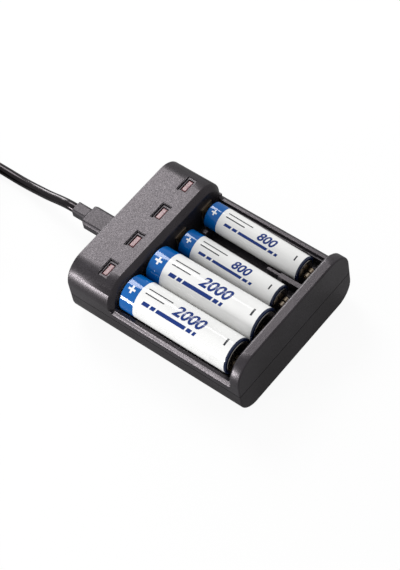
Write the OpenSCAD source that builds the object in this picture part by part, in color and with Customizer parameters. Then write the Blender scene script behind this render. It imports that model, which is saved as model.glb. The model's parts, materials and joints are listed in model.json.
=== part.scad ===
// Four-bay USB charger for AA and AAA rechargeable cells, with its cord.
// Millimetres, +Z up. The head with the indicator windows is at +Y, the end wall at -Y.
// The origin is on the table under the middle of the case.

/* [Cells] */
// Diameter of an AA cell over its sleeve
aa_d = 14.3; // [13.8:0.1:14.6]
// Length of an AA cell over its button
aa_l = 50.2; // [49:0.1:50.6]
// Diameter of an AAA cell over its sleeve
aaa_d = 10.4; // [10:0.1:10.6]
// Length of an AAA cell over its button
aaa_l = 44.5; // [43.5:0.1:44.6]
// Gap between two AA cells side by side
cell_gap = 0.7; // [0.4:0.1:3]
// Clearance between a cell and its groove
cell_clear = 0.3; // [0.2:0.05:0.6]
// Height of the button on the positive end
button_h = 1.3; // [1:0.1:1.6]
// Radius of the button of an AA cell
aa_button_r = 2.75; // [2.4:0.05:2.75]
// Radius of the button of an AAA cell
aaa_button_r = 1.9; // [1.6:0.05:1.9]
// Radius of the folded edge of the sleeve
sleeve_edge = 0.5; // [0.3:0.1:0.8]

/* [Case] */
// Wall thickness of both shells
wall = 1.8; // [1.4:0.1:2.4]
// Plastic outside the AA groove at each side
side_web = 2.25; // [2:0.05:4]
// Length of the head from the bay wall to the back
head_l = 21.2; // [19:0.1:30]
// Thickness of the end wall
end_wall_t = 4.5; // [3.6:0.1:8]
// Space between the AA cell and the end wall, for the sprung contact
spring_room = 2.75; // [2.4:0.05:5]
// Height of the head above the top of the AA cells
top_reveal = 0.05; // [0:0.05:3]
// Height of the parting line above the underside
split_h = 12.2; // [11.9:0.1:12.6]
// Height of the rails and dividers above the AAA axis
rail_rise = 1.5; // [1.2:0.05:2]
// How far the AA axis lies above the AAA axis at the end wall
axis_step = 5; // [4.6:0.1:5.2]
// How far the positive end of an AAA cell lies above its other end
aaa_lift = 1.9; // [1.5:0.05:1.9]
// Radius of the two top corners of the section
top_r = 9.3; // [5:0.1:10]
// Radius of the two bottom corners of the section
bottom_r = 8; // [5:0.1:8.6]
// Fillet round the outer end edges
edge_r = 0.6; // [0.5:0.1:1.2]
// Chamfer round the bay side of the head
head_chamfer = 2; // [0.6:0.1:2.4]
// Chamfer round the inner edge of the end wall
end_chamfer = 0.8; // [0.4:0.1:1.2]
// Fillet where the rails run into the head and the end wall
rail_fillet = 1.5; // [0.6:0.1:2]
// Thickness of the groove floors and of the deck
floor_t = 1.6; // [1.2:0.1:1.8]
// Width of the rails
rail_w = 2.6; // [2.4:0.1:2.8]
// Width and height of the sloped outer face of the rails
rail_chamfer = 1.4; // [0.8:0.1:1.8]
// Width of the step along the inside of each rail
step_w = 0.9; // [0.8:0.05:1.4]
// Depth of that step
step_h = 1.2; // [0.5:0.1:1.6]
// Depth of the open tray below the rails
tray_depth = 5.15; // [4.4:0.05:5.3]
// Width of the dividers between the bays at the end wall
divider_w = 1.8; // [1.2:0.1:2.4]
// Length of those dividers
divider_l = 14; // [10:0.5:18]
// Thickness of the ribs that carry the cells
cradle_t = 2; // [1.6:0.1:4]
// Distance from the head to its rib
cradle_in = 4; // [3:0.1:8]
// Height of the lip that locates the two shells
lip_h = 1.2; // [0.8:0.1:1.8]
// Clearance round the lip
lip_clear = 0.15; // [0.1:0.05:0.3]
// Height and depth of the shadow line at the parting line
shadow_line = 0.3; // [0.2:0.05:0.5]

/* [Indicator windows] */
// Length of a window across the case
window_w = 7.4; // [6.4:0.1:9]
// Width of a window along the case
window_l = 3.9; // [3.4:0.1:5]
// Depth of a window
window_depth = 0.9; // [0.5:0.05:1.1]
// Width of the stepped edge of a window
window_step = 0.25; // [0.15:0.05:0.5]
// Distance from the bay wall to the middle of the windows
window_y = 8; // [6:0.1:9]
// Length of a lamp face
lamp_w = 5; // [4:0.1:5.4]
// Width of a lamp face
lamp_l = 2; // [1.6:0.1:2.4]
// Height of a lamp body
lamp_h = 7; // [5:0.1:9]
// Clearance of a lamp in its slot
lamp_clear = 0.3; // [0.2:0.05:0.35]

/* [Feet] */
// Diameter of a rubber foot
foot_d = 7; // [5:0.1:9]
// How far a foot stands out under the case
foot_stand = 0.5; // [0.3:0.1:1.5]
// Depth of the socket that a foot is glued into
foot_sink = 0.5; // [0.3:0.1:0.8]
// Distance of the feet from the two ends of the case
foot_inset = 14; // [12:0.1:18]

/* [Board] */
// Height of the board seats above the underside
seat_h = 5.5; // [5.2:0.1:5.8]
// Thickness of the board
board_t = 1.6; // [1:0.1:1.8]
// Gap between the board and the groove floors
board_gap = 0.65; // [0.4:0.05:1.2]
// Gap between the board and the case walls
board_clear = 1.4; // [1:0.1:2.5]
// Diameter of the screw posts on the upper shell
post_d = 5; // [4.6:0.1:6]
// Diameter of the board seats on the lower shell
seat_d = 8; // [7.4:0.1:10]
// Diameter of a screw shank
screw_d = 2.2; // [1.8:0.1:2.6]
// Length of a screw shank
screw_l = 7; // [6:0.1:7.2]
// Diameter of a screw head
screw_head_d = 4; // [3.6:0.1:4.6]
// Height of a screw head
screw_head_h = 1.5; // [1.2:0.1:2]
// Clearance round the screws, posts and the socket
fit_clear = 0.2; // [0.1:0.05:0.3]
// Distance of the screws from the inside of the end walls
screw_inset = 4.2; // [4:0.1:7]

/* [Contacts] */
// Thickness of the contact strip
strip_t = 0.35; // [0.25:0.05:0.5]
// Width of a negative contact leaf
leaf_w = 4; // [3:0.1:5]
// Width of the slot between the two fingers of a leaf
leaf_slot = 0.7; // [0.4:0.1:1.2]
// Height above its pivot at which a leaf meets an AAA cell
leaf_meet = 5.53; // [5.2:0.01:5.9]
// Outer radius of the rolled nose
nose_r = 0.95; // [0.7:0.05:1.1]
// Radius of the rolled root of a leaf
root_r = 0.7; // [0.6:0.05:0.8]
// Distance from the end wall to the pivot of a leaf
pivot_in = 2; // [1.9:0.1:2.3]
// Gap between a moving leaf and what it nearly touches
leaf_clear = 0.3; // [0.2:0.05:0.4]
// Depth of the pocket behind each leaf
pocket = 1.6; // [1:0.1:1.8]
// Width of a positive contact plate
plate_w = 6; // [5:0.1:8]
// Height of a positive contact plate above the AA axis
plate_top = 0.5; // [0.3:0.1:3]
// Radius of the pressed dome for the AAA button
dome_r = 1.7; // [1.2:0.1:1.9]

/* [Plug and cord] */
// Width of the micro plug's metal shell
micro_w = 6.8; // [6.6:0.05:7]
// Thickness of the micro plug's metal shell
micro_t = 1.8; // [1.7:0.05:2]
// Wall of the metal shells
shell_t = 0.3; // [0.2:0.05:0.35]
// Length of the socket
socket_l = 5.8; // [5:0.1:8]
// Width of the moulded grip
grip_w = 9.4; // [9:0.1:12]
// Thickness of the moulded grip
grip_t = 4.8; // [4.4:0.1:7]
// Length of the moulded grip
grip_l = 18.6; // [15:0.1:26]
// Gap between the grip and the back of the case
grip_gap = 0.5; // [0.2:0.1:2]
// Diameter of the cord
cord_d = 3.9; // [3.4:0.1:3.9]
// Width of the USB-A shell
usb_a_w = 12; // [11.8:0.1:12.2]
// Thickness of the USB-A shell
usb_a_t = 4.5; // [4.4:0.1:4.6]
// Length of the USB-A shell outside its grip
usb_a_l = 18.7; // [18:0.1:20]
// Width of the USB-A grip
usb_grip_w = 15.6; // [14:0.1:17]
// Thickness of the USB-A grip
usb_grip_t = 7.8; // [7:0.1:9]
// Length of the USB-A grip
usb_grip_l = 22; // [18:0.1:28]

/* [Hidden] */
$fn = 64;
bays = 4;
aa_bays = [0, 1];
aaa_bays = [2, 3];
over = 1;

// Heights, from the table up
split_z = foot_stand + split_h;
board_z = foot_stand + seat_h;
board_top = board_z + board_t;
aaa_groove_r = aaa_d / 2 + cell_clear;
aa_groove_r = aa_d / 2 + cell_clear;
aaa_z = board_top + board_gap + floor_t + aaa_groove_r;
aa_z = aaa_z + axis_step;
rail_z = aaa_z + rail_rise;
tray_z = rail_z - tray_depth;
case_h = aa_z + aa_d / 2 + top_reveal;

// Places across the case
bay_pitch = aa_d + cell_gap;
case_w = (bays - 1) * bay_pitch + 2 * (aa_groove_r + side_web);
half_w = case_w / 2;
function bay_x(i) = (i - (bays - 1) / 2) * bay_pitch;

// Room inside the lip
lip_room = 0.5;

// Places along the case
touch = 0.05;
bay_l = aa_l + spring_room + strip_t + touch;
case_l = head_l + bay_l + end_wall_t;
back_y = case_l / 2;
front_y = -case_l / 2;
bay_wall_y = back_y - head_l;
end_face_y = front_y + end_wall_t;
aa_tip_y = bay_wall_y - strip_t - touch;
dome_h = 0.6;
aaa_tip_y = aa_tip_y - dome_h;
aa_end_y = aa_tip_y - aa_l;
aaa_end_y = aaa_tip_y - aaa_l;
aaa_tilt = asin(aaa_lift / aaa_l);
lamp_y = bay_wall_y + window_y;

// Screws, posts and board
screw_x = bay_pitch;
screw_ys = [front_y + wall + screw_inset, back_y - wall - screw_inset];
board_half_w = half_w - wall - board_clear;
board_corner = 2;
screw_sink = 0.9;
screw_seat_z = foot_stand + screw_head_h + screw_sink;
foot_x = half_w - bottom_r - foot_d / 2 - wall / 2;
foot_ys = [front_y + foot_inset, back_y - foot_inset];
pilot_depth = screw_l - (board_z - screw_seat_z) + over;

// Chips on the board: bodies, legs, and the gap from a lamp to its charge switch
controller_w = 8;
controller_l = 4;
controller_h = 1.6;
controller_legs = 6;
switch_w = 2.9;
switch_l = 1.6;
switch_h = 1.1;
switch_legs = 3;
switch_gap = 3.2;
leg_w = 0.45;
leg_t = 0.2;
leg_out = 1;
chip_stand = 0.1;

// Sprung contacts: the pivot, and the lean at which the nose meets the end of a cell
pivot_y = end_face_y + pivot_in;
pivot_z = board_top + strip_t + leaf_clear + root_r;
nose_back = root_r - nose_r;
leaf_arm = norm([leaf_meet, aaa_end_y - leaf_clear - nose_r - pivot_y]);
leaf_h = sqrt(pow(leaf_arm, 2) - pow(nose_back, 2));
leaf_skew = atan2(-nose_back, leaf_h);
function lean(end_y) = leaf_skew + asin((end_y - leaf_clear - nose_r - pivot_y) / leaf_arm);
leaf_room_w = leaf_w + 2 * leaf_clear + 1;
pocket_top = pivot_z + leaf_arm + nose_r + 2 * leaf_clear;

// How far ahead of the pivot a leaf at its steepest lean passes the groove floor
groove_floor_z = aaa_z - sqrt(pow(aaa_groove_r, 2) - pow(leaf_room_w / 2, 2));
steepest = lean(aaa_end_y);
leaf_reach = root_r / cos(steepest) + (groove_floor_z - pivot_z) * tan(steepest) + leaf_clear;

// Plug and cord
plug_z = board_top + shell_t + fit_clear / 2 + micro_t / 2;
socket_w = micro_w + fit_clear + 2 * shell_t;
socket_h = micro_t + fit_clear + 2 * shell_t;
socket_front_y = back_y - shell_t;
grip_y0 = back_y + grip_gap;
grip_y1 = grip_y0 + grip_l;
grip_chamfer = 0.9;
relief_l = 6.4;
relief_w = 5;
relief_t = 4.3;
relief_chamfer = 0.6;
cord_y0 = grip_y1 + relief_l;
cord_sides = 8;
cord_straight = 3;

// The cord lies on the table from the relief to the coil, and from the coil to its far plug
cord_r = cord_d / 2;
coil_x = -23.3;
coil_y = 126;
coil_in_r = 14.9;
coil_out_r = 26.9;
coil_h = 8;
usb_x = -59;
usb_z = usb_grip_t / 2;
usb_relief_y = 131;
usb_relief_l = 7;
usb_chamfer = 1.6;
usb_grip_y = usb_relief_y - usb_relief_l;
usb_shell_y = usb_grip_y - usb_grip_l;
lead_points = [
    [0, cord_y0, plug_z], [0, cord_y0 + cord_straight, plug_z], [0.3, 73.1, 7.6], [0.5, 80, 5.7],
    [0.9, 86, 4.1], [1.2, 91.5, 2.9], [1.4, 97, 2.2], [1.5, 104, 2], [1.5, 113, 2]
];
tail_points = [
    [-29, 151, 5.7], [-36, 151.2, 4], [-43, 149.6, 2.6], [-49.5, 146.2, 2.1], [-55, 141.4, 2.7],
    [-58.3, 136.4, 3.6], [usb_x, usb_relief_y + 2, usb_z], [usb_x, usb_relief_y, usb_z]
];

// Points of an arc about [x, y], from angle a0 to a1 in n steps
function arc(x, y, r, a0, a1, n) =
    [for (i = [0:n]) let (a = a0 + (a1 - a0) * i / n) [x + r * cos(a), y + r * sin(a)]];

// Half outline of a block that reaches out to r, with its two end edges rounded in n steps (1 is a chamfer)
function end_outline(r, y0, y1, e0, n0, e1, n1) = concat(
    [[0, y0]], arc(r - e0, y0 + e0, e0, -90, 0, n0),
    arc(r - e1, y1 - e1, e1, 0, 90, n1), [[0, y1]]);

// Both halves of that outline, as seen from above
module plan(r, y0, y1, e0, n0, e1, n1) {
    half = end_outline(r, y0, y1, e0, n0, e1, n1);
    polygon(concat(half, [for (i = [len(half) - 2:-1:1]) [-half[i][0], half[i][1]]]));
}

// Block h tall on the XY plane, whose long top corners are rounded by r and whose ends are edged as above
module crowned_block(hw, r, h, y0, y1, e0, n0, e1, n1) {
    quarter = end_outline(r, y0, y1, e0, n0, e1, n1);
    linear_extrude(h - r) plan(hw, y0, y1, e0, n0, e1, n1);
    translate([0, 0, h - r]) {
        rotate([0, -90, 0]) linear_extrude(2 * (hw - r), center = true) polygon(quarter);
        for (side = [0, 1]) mirror([side, 0, 0]) translate([hw - r, 0, 0])
            rotate([-90, 0, 0]) rotate([0, 0, -90]) rotate_extrude(angle = 90) polygon(quarter);
    }
}

// Round bar along Y between two places
module bar_y(r, y0, y1) {
    translate([0, y0, 0]) rotate([-90, 0, 0]) cylinder(r = r, h = y1 - y0);
}

// Box between two corners
module box(low, high) {
    translate(low) cube(high - low);
}

// Rectangular tube along Y about [0, z], with its inside t smaller all round
module box_tube(w, h, t, z, y0, y1) {
    difference() {
        box([-w / 2, y0, z - h / 2], [w / 2, y1, z + h / 2]);
        box([-w / 2 + t, y0 - over, z - h / 2 + t], [w / 2 - t, y1 + over, z + h / 2 - t]);
    }
}

module at_screws() {
    for (sx = [-1, 1]) for (sy = screw_ys) translate([sx * screw_x, sy, 0]) children();
}

module at_feet() {
    for (sx = [-1, 1]) for (sy = foot_ys) translate([sx * foot_x, sy, 0]) children();
}

module at_bays() {
    for (i = [0:bays - 1]) translate([bay_x(i), 0, 0]) children();
}

// Turns about the negative end of an AAA cell, so that its positive end rises
module along_aaa() {
    translate([0, aaa_end_y, aaa_z]) rotate([aaa_tilt, 0, 0]) translate([0, -aaa_end_y, 0]) children();
}

// Outside of the upper shell: rails up to the deck, the head and the end wall
module upper_outside() {
    translate([0, 0, split_z]) linear_extrude(rail_z - split_z)
        plan(half_w, front_y, back_y, edge_r, 5, edge_r, 5);
    translate([0, 0, rail_z])
        crowned_block(half_w, top_r, case_h - rail_z, bay_wall_y, back_y, head_chamfer, 1, edge_r, 5);
    translate([0, 0, rail_z])
        crowned_block(half_w, top_r, case_h - rail_z, front_y, end_face_y, edge_r, 5, end_chamfer, 1);
    rail_fillets();
}

// Hollow fillets where a rail runs into the head and into the end wall
module rail_fillets() {
    inner = half_w - rail_w;
    web = concat([[0, 0]], arc(rail_fillet, rail_fillet, rail_fillet, -90, -180, 6));
    for (side = [0, 1]) mirror([side, 0, 0]) {
        translate([inner, end_face_y, rail_z]) rotate([90, 0, 90])
            linear_extrude(rail_w - rail_chamfer) polygon(web);
        translate([inner, bay_wall_y, rail_z]) mirror([0, 1, 0]) rotate([90, 0, 90])
            linear_extrude(rail_w - rail_chamfer) polygon(web);
    }
}

// What is cut from the outer top edge of each rail, up to where the head's own chamfer takes over
module rail_slopes() {
    y1 = bay_wall_y + max(0, head_chamfer - rail_chamfer);
    for (side = [0, 1]) mirror([side, 0, 0]) translate([half_w, y1, rail_z]) rotate([90, 0, 0])
        linear_extrude(y1 - end_face_y)
            polygon([[-rail_chamfer, 0], [over, -rail_chamfer - over], [over, 0]]);
}

// Space inside the upper shell: in the head, and under the deck
module upper_inside() {
    translate([0, 0, split_z - over])
        crowned_block(half_w - wall, top_r - wall, case_h - wall - split_z + over,
            bay_wall_y + wall, back_y - wall, floor_t / 2, 1, floor_t / 2, 1);
    translate([0, 0, split_z - over]) linear_extrude(rail_z - floor_t - split_z + over)
        plan(half_w - wall, front_y + wall, bay_wall_y + 2 * wall, floor_t / 2, 1, floor_t / 2, 1);
}

// Troughs that carry the cells, before the grooves are cut
module troughs() {
    y0 = front_y + wall + lip_clear;
    y1 = bay_wall_y + wall;
    intersection() {
        at_bays() {
            along_aaa() bar_y(aaa_groove_r + floor_t, y0 - over, y1 + over);
            translate([0, 0, aa_z]) bar_y(aa_groove_r + floor_t, y0, y1);
        }
        box([-half_w + wall / 2, y0, 0], [half_w - wall / 2, y1, rail_z]);
    }
}

// Sunken floor of the tray, solid up to the rails before it is cleared
module tray_block() {
    x = half_w - wall - lip_room;
    box([-x, front_y + wall + lip_clear, tray_z - floor_t], [x, bay_wall_y + wall, rail_z]);
}

// Open space of the tray, with a step along each rail
module tray_space() {
    x = half_w - rail_w;
    box([-x, end_face_y, rail_z - step_h], [x, bay_wall_y, rail_z + over]);
    box([-x + step_w, end_face_y, tray_z], [x - step_w, bay_wall_y, rail_z]);
}

// Short dividers at the end wall, and the two ribs across the tray that carry the cells
module cradles() {
    x = half_w - rail_w - step_w + touch;
    low = tray_z - touch;
    for (i = [1:bays - 1]) translate([bay_x(i) - bay_pitch / 2, end_face_y - touch, 0])
        box([-divider_w / 2, 0, low], [divider_w / 2, divider_l, rail_z]);
    for (y = [end_face_y + divider_l - cradle_t, bay_wall_y - cradle_in - cradle_t])
        box([-x, y, low], [x, y + cradle_t, rail_z]);
}

// Grooves: a narrow one that slopes for an AAA cell, within a wide one for an AA cell
module grooves() {
    at_bays() {
        intersection() {
            along_aaa() bar_y(aaa_groove_r, end_face_y - over, bay_wall_y + over);
            box([-2 * aaa_groove_r, end_face_y, 0], [2 * aaa_groove_r, bay_wall_y, 2 * case_h]);
        }
        translate([0, 0, aa_z]) bar_y(aa_groove_r, end_face_y, bay_wall_y);
    }
}

// Stepped window with a slot for the lamp in its floor
module window_cut() {
    translate([0, lamp_y, case_h]) {
        box([-window_w / 2, -window_l / 2, -window_depth], [window_w / 2, window_l / 2, over]);
        box([-window_w / 2 - window_step, -window_l / 2 - window_step, -window_step],
            [window_w / 2 + window_step, window_l / 2 + window_step, over]);
        box([-lamp_w / 2 - lamp_clear, -lamp_l / 2 - lamp_clear, -wall - over],
            [lamp_w / 2 + lamp_clear, lamp_l / 2 + lamp_clear, over]);
    }
}

// Openings in the groove floors for the contacts, and the pocket behind each leaf
module contact_cuts() {
    low = board_top;
    hw = leaf_room_w / 2;
    box([-hw, end_face_y - pocket, low], [hw, pivot_y + leaf_reach, groove_floor_z + touch]);
    box([-hw, end_face_y - pocket, low], [hw, end_face_y + over, pocket_top]);
    box([-plate_w / 2 - fit_clear, bay_wall_y - strip_t - 2 * fit_clear, low],
        [plate_w / 2 + fit_clear, bay_wall_y, aaa_z]);
}

module upper_shell() {
    color("#3c3a3d") difference() {
        union() {
            difference() {
                union() {
                    difference() {
                        upper_outside();
                        upper_inside();
                    }
                    troughs();
                    tray_block();
                }
                tray_space();
            }
            cradles();
            at_screws() translate([0, 0, board_z]) cylinder(d = post_d, h = tray_z - board_z - floor_t / 2);
            for (sx = [-1, 1]) translate([sx * screw_x, screw_ys[1], board_z])
                cylinder(d = post_d, h = case_h - wall / 2 - board_z);
        }
        rail_slopes();
        grooves();
        at_bays() window_cut();
        at_bays() contact_cuts();
        at_screws() translate([0, 0, board_z - over])
            cylinder(d = screw_d + fit_clear, h = pilot_depth + over);
        translate([0, 0, split_z - over]) linear_extrude(lip_h + lip_clear + over)
            difference() {
                plan(half_w - wall / 2 + lip_clear, front_y + wall / 2 - lip_clear,
                    back_y - wall / 2 + lip_clear, wall / 2, 1, wall / 2, 1);
                plan(half_w - wall - lip_room, front_y + wall + lip_room,
                    back_y - wall - lip_room, wall / 2, 1, wall / 2, 1);
            }
        translate([0, 0, split_z - over]) linear_extrude(shadow_line + over)
            difference() {
                plan(half_w + over, front_y - over, back_y + over, edge_r, 5, edge_r, 5);
                plan(half_w - shadow_line, front_y + shadow_line, back_y - shadow_line,
                    edge_r - shadow_line, 5, edge_r - shadow_line, 5);
            }
    }
}

module lower_shell() {
    color("#333135") difference() {
        union() {
            difference() {
                translate([0, 0, split_z]) mirror([0, 0, 1])
                    crowned_block(half_w, bottom_r, split_h, front_y, back_y, edge_r, 5, edge_r, 5);
                translate([0, 0, split_z + over]) mirror([0, 0, 1])
                    crowned_block(half_w - wall, bottom_r - wall, split_h + over - wall,
                        front_y + wall, back_y - wall, wall / 2, 1, wall / 2, 1);
            }
            translate([0, 0, split_z - lip_h]) linear_extrude(2 * lip_h) difference() {
                plan(half_w - wall / 2, front_y + wall / 2, back_y - wall / 2, wall / 2, 1, wall / 2, 1);
                plan(half_w - wall, front_y + wall, back_y - wall, wall / 2, 1, wall / 2, 1);
            }
            at_screws() translate([0, 0, foot_stand + wall / 2]) cylinder(d = seat_d, h = seat_h - wall / 2);
        }
        at_screws() {
            translate([0, 0, -over]) cylinder(d = screw_d + 2 * fit_clear, h = board_z + 2 * over);
            translate([0, 0, -over]) cylinder(d = screw_head_d + 3 * fit_clear, h = screw_seat_z + over);
        }
        at_feet() cylinder(d = foot_d + fit_clear, h = foot_stand + foot_sink);
        box([-socket_w / 2 - fit_clear, back_y - wall - over, plug_z - socket_h / 2 - fit_clear],
            [socket_w / 2 + fit_clear, back_y + over, plug_z + socket_h / 2 + fit_clear]);
    }
}

// Rubber feet, glued into shallow sockets
module feet() {
    edge = 0.2;
    r = foot_d / 2;
    color("#161617") at_feet() rotate_extrude() polygon([
        [0, 0], [r - edge, 0], [r, edge], [r, foot_stand + foot_sink], [0, foot_stand + foot_sink]
    ]);
}

module circuit_board() {
    y0 = front_y + wall + board_clear;
    y1 = back_y - wall - board_clear / 2;
    color("#2f6a3a") difference() {
        translate([0, 0, board_z]) linear_extrude(board_t)
            plan(board_half_w, y0, y1, board_corner, 5, board_corner, 5);
        at_screws() translate([0, 0, board_z - over])
            cylinder(d = post_d + 2 * fit_clear, h = board_t + 2 * over);
    }
}

// Flat chip with a row of bent legs along both long sides
module chip(w, l, h, legs) {
    step = w / legs;
    translate([0, 0, board_top]) {
        box([-w / 2, -l / 2, chip_stand], [w / 2, l / 2, h]);
        for (i = [0:legs - 1]) for (side = [0, 1]) mirror([0, side, 0])
            translate([(i - (legs - 1) / 2) * step, l / 2 - chip_stand, 0]) {
                box([-leg_w / 2, 0, h / 2], [leg_w / 2, leg_out / 2, h / 2 + leg_t]);
                box([-leg_w / 2, leg_out / 2 - leg_t, 0], [leg_w / 2, leg_out / 2, h / 2 + leg_t]);
                box([-leg_w / 2, leg_out / 2 - leg_t, 0], [leg_w / 2, leg_out + chip_stand, leg_t]);
            }
    }
}

module charge_controller() {
    color("#202022") translate([0, lamp_y, 0])
        chip(controller_w, controller_l, controller_h, controller_legs);
}

module charge_switches() {
    color("#202022") at_bays() translate([0, lamp_y - switch_gap, 0])
        chip(switch_w, switch_l, switch_h, switch_legs);
}

module input_capacitor() {
    can_r = 2.5;
    can_h = 6;
    crimp_z = 0.9;
    crimp = 0.25;
    edge = 0.4;
    back_gap = 3;
    color("#3a3f55") translate([-bay_pitch / 2 - can_r / 2, back_y - wall - can_r - back_gap, board_top])
        rotate_extrude() polygon([
            [0, 0], [can_r, 0], [can_r, crimp_z - crimp], [can_r - crimp, crimp_z], [can_r, crimp_z + crimp],
            [can_r, can_h - edge], [can_r - edge, can_h], [0, can_h]
        ]);
}

module micro_usb_socket() {
    color("#c9cbce") box_tube(socket_w, socket_h, shell_t, plug_z, socket_front_y - socket_l, socket_front_y);
}

module socket_tongue() {
    back_t = 0.8;
    tongue_w = 4.2;
    tongue_t = 0.5;
    tongue_l = 3.6;
    in_w = socket_w / 2 - shell_t;
    in_h = socket_h / 2 - shell_t;
    y0 = socket_front_y - socket_l;
    color("#18181a") {
        box([-in_w, y0, plug_z - in_h], [in_w, y0 + back_t, plug_z + in_h]);
        box([-tongue_w / 2, y0, plug_z - tongue_t / 2],
            [tongue_w / 2, y0 + back_t + tongue_l, plug_z + tongue_t / 2]);
    }
}

// Rectangular lamp: its face stands just under the window's floor
lamp_sink = 0.1;
lamp_top = case_h - window_depth - lamp_sink;
lamp_bottom = lamp_top - lamp_h;

module lamp(i) {
    flange = 0.5;
    flange_h = 1.2;
    color("#c9757b") translate([bay_x(i), lamp_y, lamp_bottom]) {
        box([-lamp_w / 2, -lamp_l / 2, 0], [lamp_w / 2, lamp_l / 2, lamp_h]);
        box([-lamp_w / 2 - flange, -lamp_l / 2 - flange, 0],
            [lamp_w / 2 + flange, lamp_l / 2 + flange, flange_h]);
    }
}

module lamp_legs() {
    leg = 0.5;
    leg_pitch = 2.54;
    color("#c9cbce") at_bays() for (side = [-1, 1]) translate([side * leg_pitch / 2, lamp_y, 0])
        box([-leg / 2, -leg / 2, board_top], [leg / 2, leg / 2, lamp_bottom]);
}

// Plate against the bay wall, with a pressed dome that reaches out to an AAA button
module positive_contact(i) {
    tip_r = 0.7;
    color("#c9a24d") translate([bay_x(i), bay_wall_y, 0]) {
        difference() {
            box([-plate_w / 2, -strip_t, board_top], [plate_w / 2, 0, aa_z + plate_top]);
            translate([0, 0, aaa_z]) bar_y(dome_r, -strip_t - over, over);
        }
        translate([0, 0, aaa_z]) rotate([90, 0, 0]) rotate_extrude() polygon([
            [0, dome_h + strip_t], [tip_r, dome_h + strip_t], [dome_r, strip_t],
            [dome_r, 0], [dome_r - strip_t, 0], [tip_r - strip_t / 2, dome_h], [0, dome_h]
        ]);
    }
}

// Foot of a negative contact: a flat pad on the board, with a tab that stands against the end of the pocket
module contact_base(i) {
    tab_h = 3;
    back = end_face_y - pocket + fit_clear;
    color("#b08a45") translate([bay_x(i), 0, board_top]) {
        box([-leaf_w / 2, back, 0], [leaf_w / 2, pivot_y + root_r, strip_t]);
        box([-leaf_w / 2, back, 0], [leaf_w / 2, back + strip_t, tab_h]);
    }
}

// Moving leaf of a negative contact: rolled root, straight strip and rolled nose, split into two fingers
module contact_leaf(i, end_y) {
    tail = 1.2;
    color("#c9a24d") translate([bay_x(i), pivot_y, pivot_z]) rotate([-lean(end_y), 0, 0]) difference() {
        rotate([90, 0, 90]) linear_extrude(leaf_w, center = true) {
            difference() {
                circle(r = root_r);
                circle(r = root_r - strip_t);
            }
            translate([root_r - strip_t, 0]) square([strip_t, leaf_h]);
            translate([nose_back, leaf_h]) difference() {
                circle(r = nose_r);
                circle(r = nose_r - strip_t);
                translate([-2 * nose_r, -2 * nose_r]) square([4 * nose_r, 2 * nose_r]);
            }
            translate([nose_back - nose_r, leaf_h - tail]) square([strip_t, tail + touch]);
        }
        box([-leaf_slot / 2, -2 * nose_r, root_r + 1], [leaf_slot / 2, 2 * nose_r, leaf_h + 2 * nose_r]);
    }
}

module case_screws() {
    slot_w = 0.6;
    slot_l = 2.4;
    slot_depth = 0.9;
    color("#8d9094") at_screws() difference() {
        union() {
            translate([0, 0, screw_seat_z - screw_head_h]) cylinder(d = screw_head_d, h = screw_head_h);
            translate([0, 0, screw_seat_z - touch]) cylinder(d = screw_d, h = screw_l);
        }
        translate([0, 0, screw_seat_z - screw_head_h]) for (turn = [0, 90]) rotate([0, 0, turn])
            box([-slot_l / 2, -slot_w / 2, -over], [slot_l / 2, slot_w / 2, slot_depth]);
    }
}

// Sealed round cell along Y: flat can end, sleeve folded over both edges, sunk collar and button
module cell(d, l, end_y, button_r) {
    r = d / 2;
    can_r = r - 2 * sleeve_edge;
    collar = 0.4;
    body_l = l - button_h;
    color("#e9e9ea") translate([0, end_y, 0]) rotate([-90, 0, 0]) rotate_extrude() polygon(concat(
        [[0, 0], [can_r, 0], [can_r, collar / 2], [r - sleeve_edge, collar / 2]],
        arc(r - sleeve_edge, collar / 2 + sleeve_edge, sleeve_edge, -90, 0, 4),
        arc(r - sleeve_edge, body_l - sleeve_edge, sleeve_edge, 0, 90, 4),
        [[can_r, body_l], [can_r, body_l - collar], [button_r + collar, body_l - collar],
            [button_r, body_l], [button_r, l - collar], [button_r - collar, l], [0, l]]
    ));
}

module aa_cell(i) {
    translate([bay_x(i), 0, aa_z]) cell(aa_d, aa_l, aa_end_y, aa_button_r);
}

module aaa_cell(i) {
    translate([bay_x(i), 0, 0]) along_aaa() cell(aaa_d, aaa_l, aaa_end_y, aaa_button_r);
}

module plug_shell() {
    color("#c9cbce") box_tube(micro_w, micro_t, shell_t, plug_z, back_y - socket_l + 1.4, grip_y0);
}

// Rectangle about the origin with its four corners cut off
module cut_corners(w, h, c) {
    polygon([
        [c - w / 2, -h / 2], [w / 2 - c, -h / 2], [w / 2, c - h / 2], [w / 2, h / 2 - c],
        [w / 2 - c, h / 2], [c - w / 2, h / 2], [-w / 2, h / 2 - c], [-w / 2, c - h / 2]
    ]);
}

// Moulded grip along Y between two places, with its long edges chamfered by c and its upright edges by e
module grip(w, t, y0, y1, c, e) {
    intersection() {
        translate([0, y1, 0]) rotate([90, 0, 0]) linear_extrude(y1 - y0) cut_corners(w, t, c);
        translate([0, (y0 + y1) / 2, -t]) linear_extrude(2 * t) cut_corners(w, y1 - y0, e);
    }
}

module plug_grip() {
    color("#222124") translate([0, 0, plug_z])
        grip(grip_w, grip_t, grip_y0, grip_y1, grip_chamfer, grip_chamfer);
}

module plug_relief() {
    color("#2a2a2c") translate([0, 0, plug_z])
        grip(relief_w, relief_t, grip_y1, cord_y0, relief_chamfer, touch);
}

// Tube swept along a list of points, with a ring square to the path at each point
function heading(p, i) = let (v = p[min(i + 1, len(p) - 1)] - p[max(i - 1, 0)]) v / norm(v);
function ring(p, i) =
    let (t = heading(p, i), s = cross(t, [0, 0, 1]) / norm(cross(t, [0, 0, 1])), u = cross(s, t))
    [for (k = [0:cord_sides - 1]) let (a = 360 * k / cord_sides) p[i] + cord_r * (cos(a) * s + sin(a) * u)];

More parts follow.
